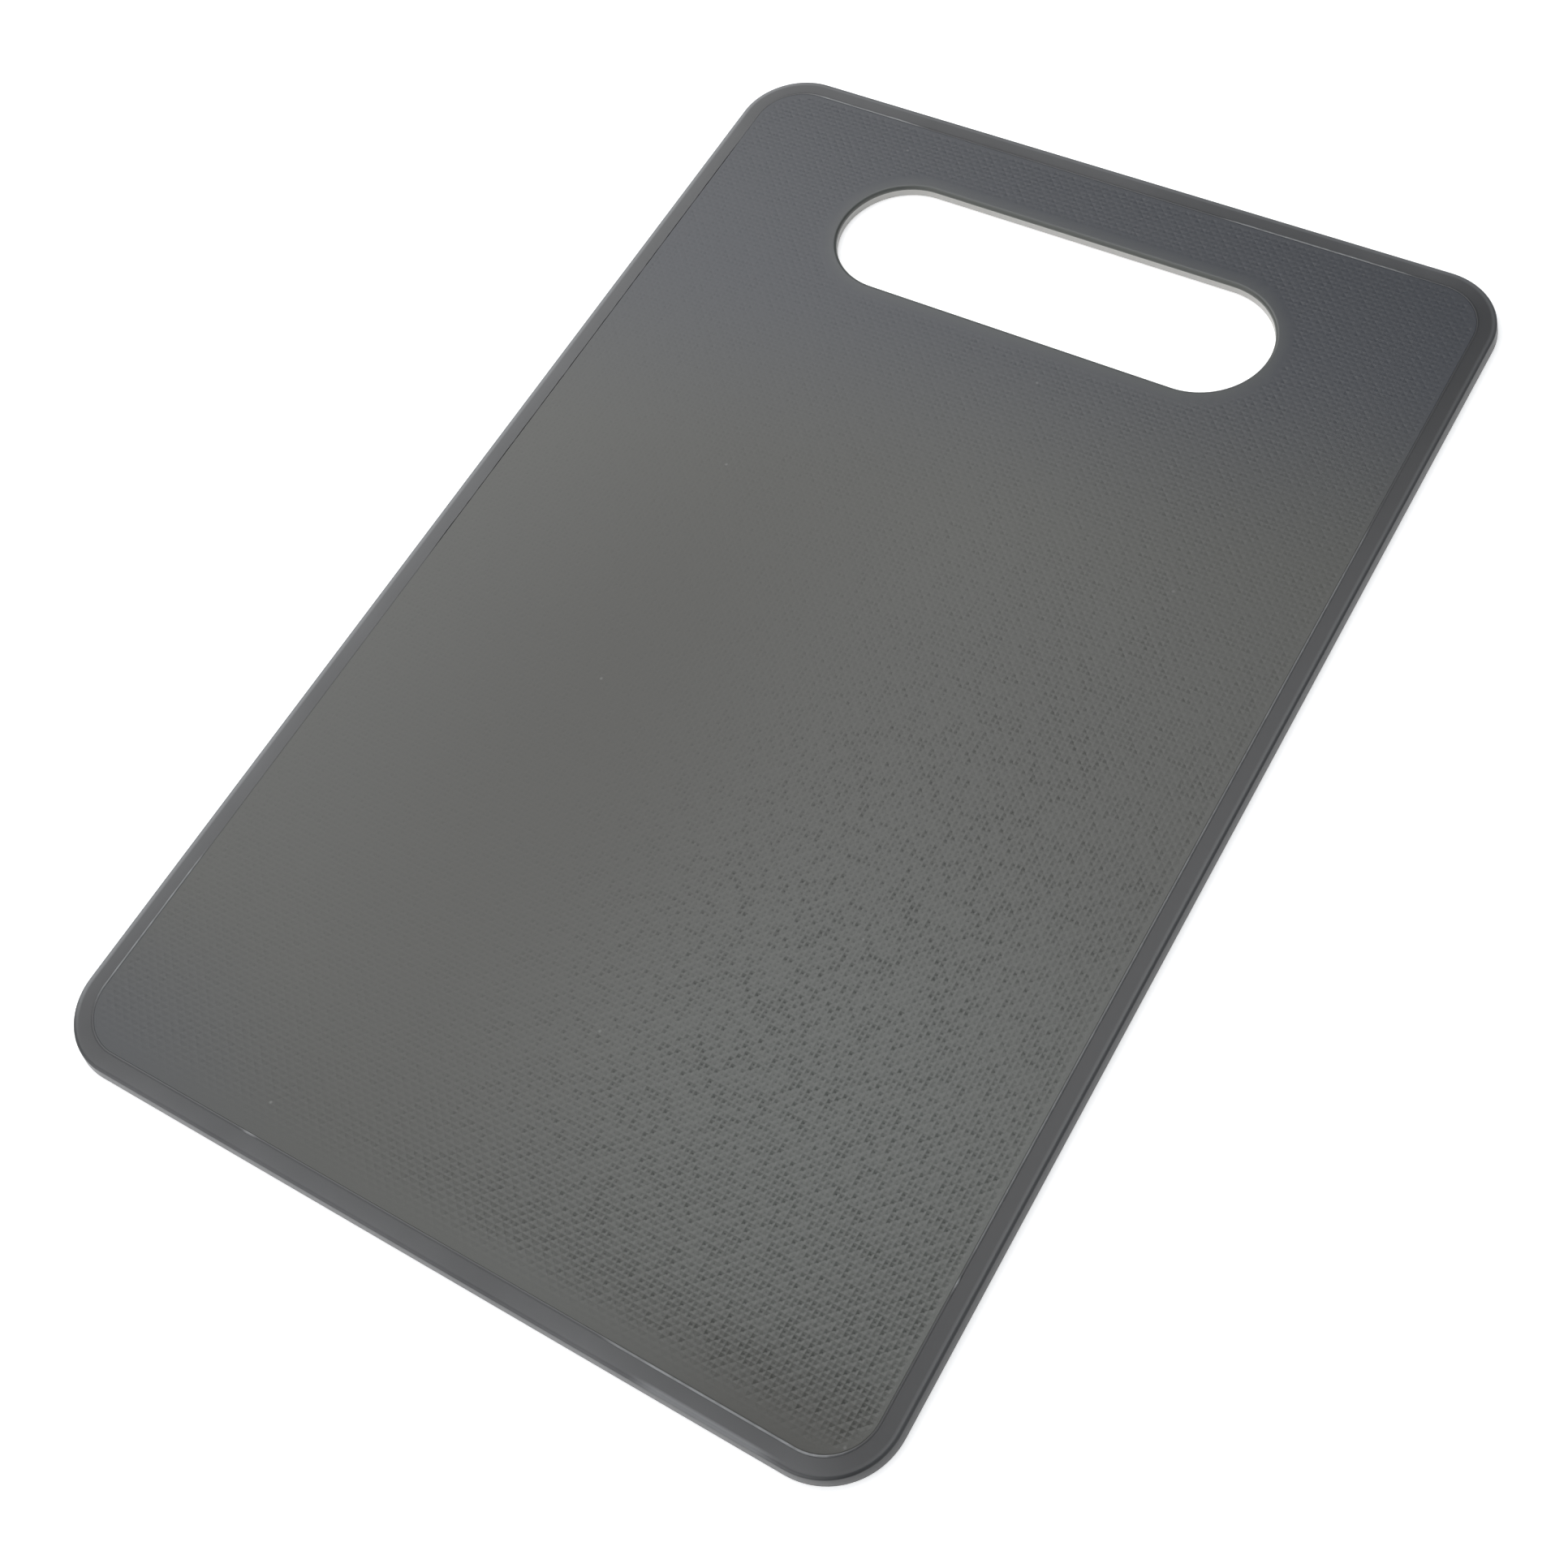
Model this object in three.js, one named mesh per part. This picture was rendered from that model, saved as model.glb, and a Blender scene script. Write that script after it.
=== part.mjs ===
// Plastic cutting board: a dark sheet with a woven texture lies on a pale base plate, and a smooth
// dark rim grips the plate's edge all round. An obround hand slot goes through near one short end.
// Millimetres. +Z is up, +Y points to the handle end, and the origin is the middle of the underside.
import * as THREE from 'three';

// Board outline and layers
const BOARD_WIDTH = 160;
const BOARD_LENGTH = 245;
const CORNER_RADIUS = 13;
const BASE_THICKNESS = 1.7;
const SHEET_THICKNESS = 0.8;

// Hand slot: the bar is the solid strip between the slot and the handle end
const SLOT_LENGTH = 90;
const SLOT_WIDTH = 26.5;
const HANDLE_BAR_WIDTH = 18;
const SLOT_LIP_ROUND = 0.6;
const SLOT_FOOT_ROUND = 0.4;

// Rim: width from the outer wall to the seam, and the raised bead along the seam
const RIM_WIDTH = 3.8;
const RIM_EDGE_ROUND = 0.6;
const BEAD_WIDTH = 0.4;
const BEAD_HEIGHT = 0.1;

// Tongue on the base plate's edge, and the fits between the three pieces
const TONGUE_LENGTH = 1.8;
const TONGUE_THICKNESS = 0.7;
const GROOVE_CLEARANCE = 0.1;
const SEAM_GAP = 0.15;
const SHEET_EDGE_ROUND = 0.15;

// How finely round stretches are divided
const CORNER_STEPS = 10;
const SLOT_END_STEPS = 18;
const EDGE_STEPS = 5;
const BEAD_STEPS = 6;

// Limits: the sharpest inner corner, and the most of a wall that an edge rounding may take up
const LEAST_CORNER_RADIUS = 0.2;
const MOST_OF_WALL = 0.9;

// Sizes that follow from the ones above
const RIM_TOP = BASE_THICKNESS + SHEET_THICKNESS;
const INNER_EDGE = RIM_WIDTH + SEAM_GAP;
const TONGUE_LOW = (BASE_THICKNESS - TONGUE_THICKNESS) / 2;
const TONGUE_HIGH = TONGUE_LOW + TONGUE_THICKNESS;
const TONGUE_TIP = RIM_WIDTH - TONGUE_LENGTH;
const SLOT_CENTRE_Y = BOARD_LENGTH / 2 - HANDLE_BAR_WIDTH - SLOT_WIDTH / 2;

// Points along an arc, both ends included
function arcPoints(centreX, centreY, radius, startAngle, endAngle, steps) {
  const points = [];
  for (let step = 0; step <= steps; step += 1) {
    const angle = startAngle + (endAngle - startAngle) * (step / steps);
    const x = centreX + radius * Math.cos(angle);
    const y = centreY + radius * Math.sin(angle);
    points.push(new THREE.Vector2(x, y));
  }
  return points;
}

// The board's rounded rectangle, moved inwards by an inset, counter-clockwise from above
function boardOutline(inset) {
  const radius = Math.max(CORNER_RADIUS - inset, LEAST_CORNER_RADIUS);
  const reachX = BOARD_WIDTH / 2 - inset - radius;
  const reachY = BOARD_LENGTH / 2 - inset - radius;
  const corners = [[1, 1], [-1, 1], [-1, -1], [1, -1]];
  return corners.flatMap(([sideX, sideY], corner) => {
    const start = corner * Math.PI / 2;
    return arcPoints(sideX * reachX, sideY * reachY, radius, start, start + Math.PI / 2, CORNER_STEPS);
  });
}

// The obround of the hand slot, widened on every side, counter-clockwise from above
function slotOutline(widening) {
  const radius = SLOT_WIDTH / 2 + widening;
  const reach = (SLOT_LENGTH - SLOT_WIDTH) / 2;
  const quarter = Math.PI / 2;
  const rightEnd = arcPoints(reach, SLOT_CENTRE_Y, radius, -quarter, quarter, SLOT_END_STEPS);
  const leftEnd = arcPoints(-reach, SLOT_CENTRE_Y, radius, quarter, 3 * quarter, SLOT_END_STEPS);
  return [...rightEnd, ...leftEnd];
}

// A quarter round between a wall and a face, as [distance from the wall, distance from the face]
// pairs that start on the wall
function edgeRound(wantedRadius, wallHeight) {
  const radius = Math.min(wantedRadius, wallHeight * MOST_OF_WALL);
  const points = [];
  for (let step = 0; step <= EDGE_STEPS; step += 1) {
    const angle = (step / EDGE_STEPS) * (Math.PI / 2);
    points.push([radius * (1 - Math.cos(angle)), radius * (1 - Math.sin(angle))]);
  }
  return points;
}

// Collects level rings of points and the faces between them into one closed surface
class RingSurface {
  constructor() {
    this.positions = [];
    this.triangles = [];
  }

  addRing(outline, height) {
    const ring = { first: this.positions.length / 3, outline };
    outline.forEach((point) => this.positions.push(point.x, point.y, height));
    return ring;
  }

  // A wall between two rings: it faces outwards if the second ring lies above the first
  addWall(from, to) {
    const count = from.outline.length;
    for (let i = 0; i < count; i += 1) {
      const next = (i + 1) % count;
      this.triangles.push(from.first + i, from.first + next, to.first + next);
      this.triangles.push(from.first + i, to.first + next, to.first + i);
    }
  }

  addWalls(rings) {
    for (let i = 0; i + 1 < rings.length; i += 1) {
      this.addWall(rings[i], rings[i + 1]);
    }
  }

  // A flat face between an outer ring and the ring of a hole in it, facing up or down
  addFace(outer, hole, facesUp) {
    const points = [...outer.outline, ...hole.outline];
    const outerCount = outer.outline.length;
    const indexOf = (i) => (i < outerCount ? outer.first + i : hole.first + i - outerCount);
    THREE.ShapeUtils.triangulateShape(outer.outline, [hole.outline]).forEach((face) => {
      const isUp = THREE.ShapeUtils.area(face.map((i) => points[i])) > 0;
      const ordered = isUp === facesUp ? face : [face[0], face[2], face[1]];
      this.triangles.push(...ordered.map(indexOf));
    });
  }

  toGeometry() {
    const geometry = new THREE.BufferGeometry();
    geometry.setAttribute('position', new THREE.Float32BufferAttribute(this.positions, 3));
    geometry.setIndex(this.triangles);
    geometry.computeVertexNormals();
    return geometry;
  }
}

// A plate with the hand slot: edge and slot profiles are [inset or widening, height] pairs, the edge
// listed from the underside up and the slot from the top down
function slottedPlate(edgeProfile, slotProfile) {
  const surface = new RingSurface();
  const edgeRings = edgeProfile.map(([inset, height]) => surface.addRing(boardOutline(inset), height));
  const slotRings = slotProfile.map(([widening, height]) => surface.addRing(slotOutline(widening), height));
  surface.addWalls(edgeRings);
  surface.addFace(edgeRings.at(-1), slotRings.at(0), true);
  surface.addWalls(slotRings);
  surface.addFace(edgeRings.at(0), slotRings.at(-1), false);
  return surface.toGeometry();
}

// The pale plate that carries the board, with a tongue all round its edge
function basePlate() {
  const edge = [
    [INNER_EDGE, 0],
    [INNER_EDGE, TONGUE_LOW],
    [TONGUE_TIP, TONGUE_LOW],
    [TONGUE_TIP, TONGUE_HIGH],
    [INNER_EDGE, TONGUE_HIGH],
    [INNER_EDGE, BASE_THICKNESS],
  ];
  const slot = [
    [0, BASE_THICKNESS],
    ...edgeRound(SLOT_FOOT_ROUND, BASE_THICKNESS),
  ];
  return slottedPlate(edge, slot);
}

// The dark working sheet on top of the plate, with a rounded lip at the slot
function cuttingSheet() {
  const edgeTop = edgeRound(SHEET_EDGE_ROUND, SHEET_THICKNESS);
  const slotLip = edgeRound(SLOT_LIP_ROUND, SHEET_THICKNESS);
  const edge = [
    [INNER_EDGE, BASE_THICKNESS],
    ...edgeTop.map(([back, drop]) => [INNER_EDGE + back, RIM_TOP - drop]),
  ];
  const slot = [
    ...slotLip.toReversed().map(([back, drop]) => [back, RIM_TOP - drop]),
    [0, BASE_THICKNESS],
  ];
  return slottedPlate(edge, slot);
}

// The smooth frame round the board: rounded outer edges, a bead along the seam and an inner groove
function edgeRim() {
  const round = edgeRound(RIM_EDGE_ROUND, RIM_TOP / 2);
  const grooveBottom = TONGUE_TIP - GROOVE_CLEARANCE;
  const grooveLow = TONGUE_LOW - GROOVE_CLEARANCE;
  const grooveHigh = TONGUE_HIGH + GROOVE_CLEARANCE;
  const bead = [];
  for (let step = 0; step <= BEAD_STEPS; step += 1) {
    const share = step / BEAD_STEPS;
    const height = RIM_TOP + BEAD_HEIGHT * Math.sin(Math.PI * share);
    bead.push([RIM_WIDTH - BEAD_WIDTH * (1 - share), height]);
  }
  const profile = [
    ...round.toReversed(),
    ...round.map(([back, drop]) => [back, RIM_TOP - drop]),
    ...bead,
    [RIM_WIDTH, grooveHigh],
    [grooveBottom, grooveHigh],
    [grooveBottom, grooveLow],
    [RIM_WIDTH, grooveLow],
    [RIM_WIDTH, 0],
  ];
  const surface = new RingSurface();
  const rings = profile.map(([inset, height]) => surface.addRing(boardOutline(inset), height));
  surface.addWalls([...rings, rings[0]]);
  return surface.toGeometry();
}

// Finishes: matte dark sheet, smoother dark rim, undyed pale plate
const SHEET_FINISH = new THREE.MeshStandardMaterial({ color: '#646463', roughness: 0.55, metalness: 0 });
const RIM_FINISH = new THREE.MeshStandardMaterial({ color: '#68686a', roughness: 0.42, metalness: 0 });
const BASE_FINISH = new THREE.MeshStandardMaterial({ color: '#cfcdca', roughness: 0.5, metalness: 0 });

function namedPiece(name, geometry, finish) {
  const piece = new THREE.Mesh(geometry, finish);
  piece.name = name;
  return piece;
}

const cuttingBoard = new THREE.Group();
cuttingBoard.add(namedPiece('base_plate', basePlate(), BASE_FINISH));
cuttingBoard.add(namedPiece('cutting_sheet', cuttingSheet(), SHEET_FINISH));
cuttingBoard.add(namedPiece('edge_rim', edgeRim(), RIM_FINISH));

export default cuttingBoard;
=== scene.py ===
# %% [markdown]
# A thin plastic cutting board, dressed for a studio picture.
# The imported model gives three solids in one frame, in metres: a pale base plate, a dark cutting sheet on it
# and a smooth rim round both. This lesson gives each of them a finer mesh and the finish of its plastic, in
# the order in which they lie on each other. The studio comes first, so that each step can be looked at.

# %% Load the solids
import math

import bpy
import numpy as np
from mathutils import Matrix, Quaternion, Vector
from mathutils.geometry import delaunay_2d_cdt


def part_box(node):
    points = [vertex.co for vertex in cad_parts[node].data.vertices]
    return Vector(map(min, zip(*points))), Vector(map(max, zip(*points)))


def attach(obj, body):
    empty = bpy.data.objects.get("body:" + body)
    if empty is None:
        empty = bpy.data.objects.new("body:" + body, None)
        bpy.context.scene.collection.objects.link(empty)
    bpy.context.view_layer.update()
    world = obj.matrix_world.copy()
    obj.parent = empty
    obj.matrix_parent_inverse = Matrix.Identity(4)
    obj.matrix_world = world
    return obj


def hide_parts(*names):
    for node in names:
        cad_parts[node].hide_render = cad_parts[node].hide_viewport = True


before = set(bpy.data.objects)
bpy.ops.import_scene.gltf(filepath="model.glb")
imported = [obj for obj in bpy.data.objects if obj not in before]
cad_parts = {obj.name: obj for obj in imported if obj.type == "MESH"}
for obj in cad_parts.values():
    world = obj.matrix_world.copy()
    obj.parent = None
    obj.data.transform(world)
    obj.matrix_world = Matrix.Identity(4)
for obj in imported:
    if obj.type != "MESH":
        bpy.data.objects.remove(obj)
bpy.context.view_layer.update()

MM = 0.001
scene = bpy.context.scene
print("solids:", sorted(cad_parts))

# %% [markdown]
# The picture is taken from the near right, high above the board, with the camera turned a little about its
# own view line. An eye, a point to aim at, a roll and a focal length say all of that, and they can be read
# and changed one by one, which a bare rotation can't.

# %% Camera
CAMERA_EYE = Vector((143.34, -154.08, 314.98)) * MM
CAMERA_AIM = Vector((8.49, -23.81, 0.0)) * MM
CAMERA_ROLL = math.radians(-17.702)
FOCAL_LENGTH_MM = 49.3
SENSOR_MM = 36.0

camera_data = bpy.data.cameras.new("camera")
camera_data.lens = FOCAL_LENGTH_MM
camera_data.sensor_width = SENSOR_MM
camera = bpy.data.objects.new("camera", camera_data)
level_view = (CAMERA_AIM - CAMERA_EYE).to_track_quat("-Z", "Y")
camera.rotation_euler = (level_view @ Quaternion((0, 0, 1), CAMERA_ROLL)).to_euler()
camera.location = CAMERA_EYE
scene.collection.objects.link(camera)
scene.camera = camera
print("camera turned by", [round(math.degrees(angle), 2) for angle in camera.rotation_euler])

# %% [markdown]
# Node trees are easier to read when adding a node is one line. This function makes any node, sets its
# properties, and fills each input with a value or with another node's output. Colours are written as sRGB
# hex, as a screen shows them, and a second function turns them into the linear light that shaders work in.

# %% One function for every node
def add_node(tree, kind, inputs=None, **settings):
    """A new node with its settings, and with each input set to a value or linked to an output."""
    made = tree.nodes.new(kind)
    for name, value in settings.items():
        setattr(made, name, value)
    for socket, value in (inputs or {}).items():
        if isinstance(value, bpy.types.NodeSocket):
            tree.links.new(value, made.inputs[socket])
        else:
            made.inputs[socket].default_value = value
    return made


def linear(hex_colour):
    """A colour written as sRGB hex, such as #646463, as linear red, green, blue and alpha."""
    shares = [int(hex_colour[i:i + 2], 16) / 255 for i in (1, 3, 5)]
    return [s / 12.92 if s <= 0.04045 else ((s + 0.055) / 1.055) ** 2.4 for s in shares] + [1.0]


def new_material(name):
    material = bpy.data.materials.new(name)
    material.use_nodes = True
    material.node_tree.nodes.clear()
    return material, material.node_tree


print("the mid grey #808080 is", round(linear("#808080")[0], 3), "in linear light")

# %% [markdown]
# What a dark satin plastic shows of a studio is mostly a soft mirror image of its lamps. A large softbox on
# the left is mirrored in most of the face. The handle's far corner mirrors a place past the edge of that
# box, so it stays darker. A second softbox in front lights the near walls and the lip of the slot, and a
# weak one on the right keeps the wall on that side from going black. Area lamps suit this, because their
# real size is what makes the mirror image soft.

# %% Softboxes
# Each softbox is (azimuth, elevation and roll in degrees, width and height in metres, brightness).
SOFTBOX_DISTANCE = 1.0
SOFTBOXES = {"left_softbox": (144.5, 56.5, 26.3, 0.86, 1.16, 2.75),
             "front_softbox": (245.0, 40.0, 0.0, 1.0, 1.0, 1.6),
             "right_fill": (350.0, 22.0, 0.0, 1.2, 0.7, 0.5)}

for name, (azimuth, elevation, roll, width, height, brightness) in SOFTBOXES.items():
    turn, rise = math.radians(azimuth), math.radians(elevation)
    towards = Vector((math.cos(rise) * math.cos(turn), math.cos(rise) * math.sin(turn), math.sin(rise)))
    lamp_data = bpy.data.lights.new(name, "AREA")
    lamp_data.shape = "RECTANGLE"
    lamp_data.size, lamp_data.size_y = width, height
    lamp_data.energy = brightness * math.pi * width * height
    lamp = bpy.data.objects.new(name, lamp_data)
    lamp.location = towards * SOFTBOX_DISTANCE
    facing = (-towards).to_track_quat("-Z", "Y") @ Quaternion((0, 0, 1), math.radians(roll))
    lamp.rotation_euler = facing.to_euler()
    lamp.visible_camera = False
    scene.collection.objects.link(lamp)
    print(name, "gives", round(lamp_data.energy, 2), "watts")

# %% [markdown]
# The rest of the light is a dim, slightly blue sky. It is palest at the horizon, as if the pale floor went
# on, and darkest just above it, which draws a thin dark line along the rounded edge on the right. The
# camera sees white in its place, as a paper backdrop would be. The board has no metal or glass to show that
# backdrop, and white in the gloss of its plastic would only be more light on it. A picture of a real studio
# could also light it, but a ramp over the height of each ray needs no file and is easy to change.

# %% Sky
# Each level is (height above the horizon, from 0 to 1, colour).
SKY_LEVELS = ((0.0, "#c9ccd0"), (0.06, "#c9ccd0"), (0.12, "#40464d"), (0.45, "#4e555e"), (1.0, "#626a73"))

world = bpy.data.worlds.new("studio_sky")
world.use_nodes = True
scene.world = world
tree = world.node_tree
tree.nodes.clear()
direction = add_node(tree, "ShaderNodeTexCoord").outputs["Generated"]
upward = add_node(tree, "ShaderNodeSeparateXYZ", {"Vector": direction}).outputs["Z"]
ramp = add_node(tree, "ShaderNodeValToRGB", {"Fac": upward})
while len(ramp.color_ramp.elements) < len(SKY_LEVELS):
    ramp.color_ramp.elements.new(1.0)
for stop, (level, colour) in zip(ramp.color_ramp.elements, SKY_LEVELS):
    stop.position = level
    stop.color = linear(colour)
seen = add_node(tree, "ShaderNodeLightPath").outputs["Is Camera Ray"]
shown = add_node(tree, "ShaderNodeMix", {"Factor": seen, "A": ramp.outputs["Color"], "B": linear("#ffffff")},
                 data_type="RGBA").outputs["Result"]
sky = add_node(tree, "ShaderNodeBackground", {"Color": shown, "Strength": 1.0})
add_node(tree, "ShaderNodeOutputWorld", {"Surface": sky.outputs["Background"]})
print("sky levels:", len(ramp.color_ramp.elements))

# %% [markdown]
# The floor is matte white paper. A lit white paper renders a little under white, so rays that show the
# floor to the eye get a small glow on top, which leaves the board's contact shadow in place.

# %% Floor
# The size is in metres. The drop, in millimetres, keeps the floor's face apart from the underside.
FLOOR_SIZE = 0.9
FLOOR_GLOW = 0.55
FLOOR_DROP = 0.02

floor_material, tree = new_material("white_paper_floor")
rays = add_node(tree, "ShaderNodeLightPath").outputs
seen = rays["Is Camera Ray"]
for kind in ("Is Glossy Ray", "Is Transmission Ray"):
    seen = add_node(tree, "ShaderNodeMath", {0: seen, 1: rays[kind]}, operation="MAXIMUM").outputs[0]
glow = add_node(tree, "ShaderNodeMath", {0: seen, 1: FLOOR_GLOW}, operation="MULTIPLY")
paper = add_node(tree, "ShaderNodeBsdfDiffuse", {"Color": linear("#e9e9e8")})
shine = add_node(tree, "ShaderNodeEmission", {"Color": linear("#ffffff"), "Strength": glow.outputs[0]})
both = add_node(tree, "ShaderNodeAddShader", {0: paper.outputs[0], 1: shine.outputs[0]})
add_node(tree, "ShaderNodeOutputMaterial", {"Surface": both.outputs[0]})

half = FLOOR_SIZE / 2
floor_mesh = bpy.data.meshes.new("floor")
floor_corners = [(-half, -half, 0), (half, -half, 0), (half, half, 0), (-half, half, 0)]
floor_mesh.from_pydata(floor_corners, [], [(0, 1, 2, 3)])
floor_mesh.materials.append(floor_material)
floor = bpy.data.objects.new("floor", floor_mesh)
floor.location.z = -FLOOR_DROP * MM
scene.collection.objects.link(floor)
print("floor, m:", FLOOR_SIZE)

# %% [markdown]
# The boxes of the three solids give the outer sizes, so the dressed pieces keep to them. A box can't tell a
# corner's radius or where the slot is, so those sizes are named here, as on a drawing.

# %% Sizes, in millimetres
rim_low, rim_high = (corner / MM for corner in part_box("edge_rim"))
sheet_low, sheet_high = (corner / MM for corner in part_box("cutting_sheet"))
base_low, base_high = (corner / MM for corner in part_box("base_plate"))

CORNER_RADIUS = 13.0
SLOT_LENGTH = 90.0
SLOT_WIDTH = 26.5
HANDLE_BAR_WIDTH = 18.0
half_width, half_length = rim_high.x, rim_high.y
slot_centre_y = half_length - HANDLE_BAR_WIDTH - SLOT_WIDTH / 2
slot_reach = (SLOT_LENGTH - SLOT_WIDTH) / 2
board_top = sheet_high.z
print("board, mm:", round(2 * half_width, 2), "x", round(2 * half_length, 2), "x", round(board_top, 2))

# %% [markdown]
# All three pieces follow two outlines: the board's rounded rectangle and the obround hand slot. Both are arcs
# joined by straights, so one function draws both. Each outline can be moved in or widened and has the same
# number of points every time, so rings at different heights can be joined point by point.

# %% Outlines
CORNER_STEPS = 24
SLOT_END_STEPS = 48
STRAIGHT_STEP = 1.0
QUARTER_TURN = math.pi / 2


def rounded_path(arcs, radius, steps):
    """Points and outward normals round a shape of equal arcs joined by straights, counter-clockwise.

    Each arc is (centre x, centre y, start angle, end angle)."""
    points, normals = [], []
    for (x, y, start, end), following in zip(arcs, arcs[1:] + arcs[:1]):
        angles = np.linspace(start, end, steps + 1)
        outward = np.stack([np.cos(angles), np.sin(angles)], 1)
        to_next = np.array(following[:2]) - (x, y)
        count = round(np.linalg.norm(to_next) / STRAIGHT_STEP)
        shares = np.arange(1, count)[:, None] / count
        round_points = np.array([x, y]) + radius * outward
        points += [round_points, round_points[-1] + to_next * shares]
        normals += [outward, np.broadcast_to(outward[-1], (count - 1, 2))]
    return np.concatenate(points), np.concatenate(normals)


corner_x, corner_y = half_width - CORNER_RADIUS, half_length - CORNER_RADIUS
board_points, board_normals = rounded_path(
    [(corner_x, corner_y, 0, QUARTER_TURN),
     (-corner_x, corner_y, QUARTER_TURN, 2 * QUARTER_TURN),
     (-corner_x, -corner_y, 2 * QUARTER_TURN, 3 * QUARTER_TURN),
     (corner_x, -corner_y, 3 * QUARTER_TURN, 4 * QUARTER_TURN)], CORNER_RADIUS, CORNER_STEPS)
slot_points, slot_normals = rounded_path(
    [(slot_reach, slot_centre_y, -QUARTER_TURN, QUARTER_TURN),
     (-slot_reach, slot_centre_y, QUARTER_TURN, 3 * QUARTER_TURN)], SLOT_WIDTH / 2, SLOT_END_STEPS)


def board_outline(inset):
    """The board's outline moved inwards, by one distance or by one for each point."""
    return board_points - board_normals * np.reshape(inset, (-1, 1))


def slot_outline(widening):
    """The slot's outline moved outwards."""
    return slot_points + slot_normals * widening


print("outline points:", len(board_points), "slot points:", len(slot_points))

# %% [markdown]
# Where the weave ends, and where a lip or an edge gets painted highlight or sheen, depends on how far a place
# is from the slot and from the outer wall. Straights and arcs have short formulas for that, which are exact
# and quicker than a search for the nearest point of a mesh. A smooth step turns a distance into a soft share
# from 0 to 1.

# %% Distances
def slot_distance(xy):
    """How far points lie outside the slot's wall."""
    past_x = np.maximum(np.abs(xy[:, 0]) - slot_reach, 0)
    return np.hypot(past_x, xy[:, 1] - slot_centre_y) - SLOT_WIDTH / 2


def wall_distance(xy):
    """How far points lie inside the board's outer wall."""
    past = np.abs(xy) - (corner_x, corner_y)
    outside = np.linalg.norm(np.maximum(past, 0), axis=1)
    return CORNER_RADIUS - outside - np.minimum(past.max(axis=1), 0)


def smooth_step(values):
    """0 below 0, 1 above 1, and a soft ramp between them."""
    share = np.clip(values, 0, 1)
    return share * share * (3 - 2 * share)


def rise(values, start, run):
    """A smooth step that leaves 0 at the start and reaches 1 one run further on."""
    return smooth_step((values - start) / run)


board_middle = np.zeros((1, 2))
print("from the middle to the slot, mm:", slot_distance(board_middle).round(2),
      "and to the wall:", wall_distance(board_middle).round(2))

# %% [markdown]
# A piece is gathered ring by ring: points at a height, walls of quads between rings, and flat faces filled
# with triangles between loops. Blender's Delaunay function fills the flat faces, and a test on each
# triangle's middle drops the ones that would close a hole. Cutting solids from each other would also work,
# but rings keep the quads of each rounded edge in order, so it shades cleanly.

# %% A mesh made of rings
INSIDE_TRIANGLES = 1
MERGE_DISTANCE = 1e-9


class PieceMesh:
    """Points and faces of one piece, in millimetres until it becomes a Blender object."""

    def __init__(self):
        self.points = np.zeros((0, 3))
        self.faces = []

    def add(self, xy, height):
        """Add points at one height or at one height each, and return their numbers."""
        first = len(self.points)
        self.points = np.vstack([self.points, np.column_stack([xy, np.broadcast_to(height, len(xy))])])
        return np.arange(first, len(self.points))

    def walls(self, rings):
        """Join each ring to the next one with quads."""
        for lower, upper in zip(rings, rings[1:]):
            self.faces += np.stack([lower, np.roll(lower, -1), np.roll(upper, -1), upper], 1).tolist()

    def fill(self, loops, keep, facing_up):
        """Fill the flat face between loops with the triangles whose middles pass the test."""
        numbers = np.concatenate(loops)
        flat = self.points[numbers, :2]
        edges, start = [], 0
        for loop in loops:
            edges += [(start + i, start + (i + 1) % len(loop)) for i in range(len(loop))]
            start += len(loop)
        corners = [Vector(point) for point in flat]
        filled = delaunay_2d_cdt(corners, edges, [], INSIDE_TRIANGLES, MERGE_DISTANCE)
        triangles = np.array(filled[2])
        triangles = triangles[keep(flat[triangles].mean(axis=1))]
        self.faces += numbers[triangles if facing_up else triangles[:, ::-1]].tolist()

    def to_piece(self, name, material, sharp_angle):
        """A Blender object in metres, smooth except at edges sharper than the angle."""
        mesh = bpy.data.meshes.new(name)
        mesh.from_pydata((self.points * MM).tolist(), [], self.faces)
        mesh.shade_smooth()
        mesh.set_sharp_from_angle(angle=sharp_angle)
        mesh.materials.append(material)
        piece = bpy.data.objects.new(name, mesh)
        scene.collection.objects.link(piece)
        print(name, "has", len(mesh.vertices), "points and", len(mesh.polygons), "faces")
        return piece


# %% [markdown]
# A moulded edge is never sharp. Its rounding is a few rings on a quarter of an ellipse, which a bevel could
# also cut, but here the same few numbers also place the strip of painted highlight beside it. A narrow flat
# strip next to each rounding ends the smooth shading there, or it would bend the light across the whole flat
# face.

# %% Rounded edges
SHARP_ANGLE = math.radians(40)
FLAT_START = 0.1


def quarter_round(across, down=None, steps=8, start=0.0):
    """Pairs of (distance from the wall, distance from the face), from the wall to the face."""
    angles = np.linspace(start, math.pi / 2, steps + 1)
    return [(across * (1 - math.cos(a)), (down or across) * (1 - math.sin(a))) for a in angles]


print("a rounding of 1 mm starts at", [tuple(round(d, 3) for d in pair) for pair in quarter_round(1.0)[:3]])

# %% [markdown]
# The base plate is undyed polypropylene, moulded and left satin. Undyed polypropylene is milky: pale, faintly
# warm, and a little cloudy where the melt flowed. Slow noise gives the clouds and fine noise the satin. The
# IOR of 1.49 is polypropylene's own, and a roughness near 0.45 is usual for a satin mould.

# %% Undyed polypropylene
POLYPROPYLENE_IOR = 1.49
CLOUD_SIZE = 30.0
# A satin mould's grain is about 0.1 mm, too fine to show here, so it is drawn at 0.4 mm.
MOULD_GRAIN = 0.4

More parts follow.
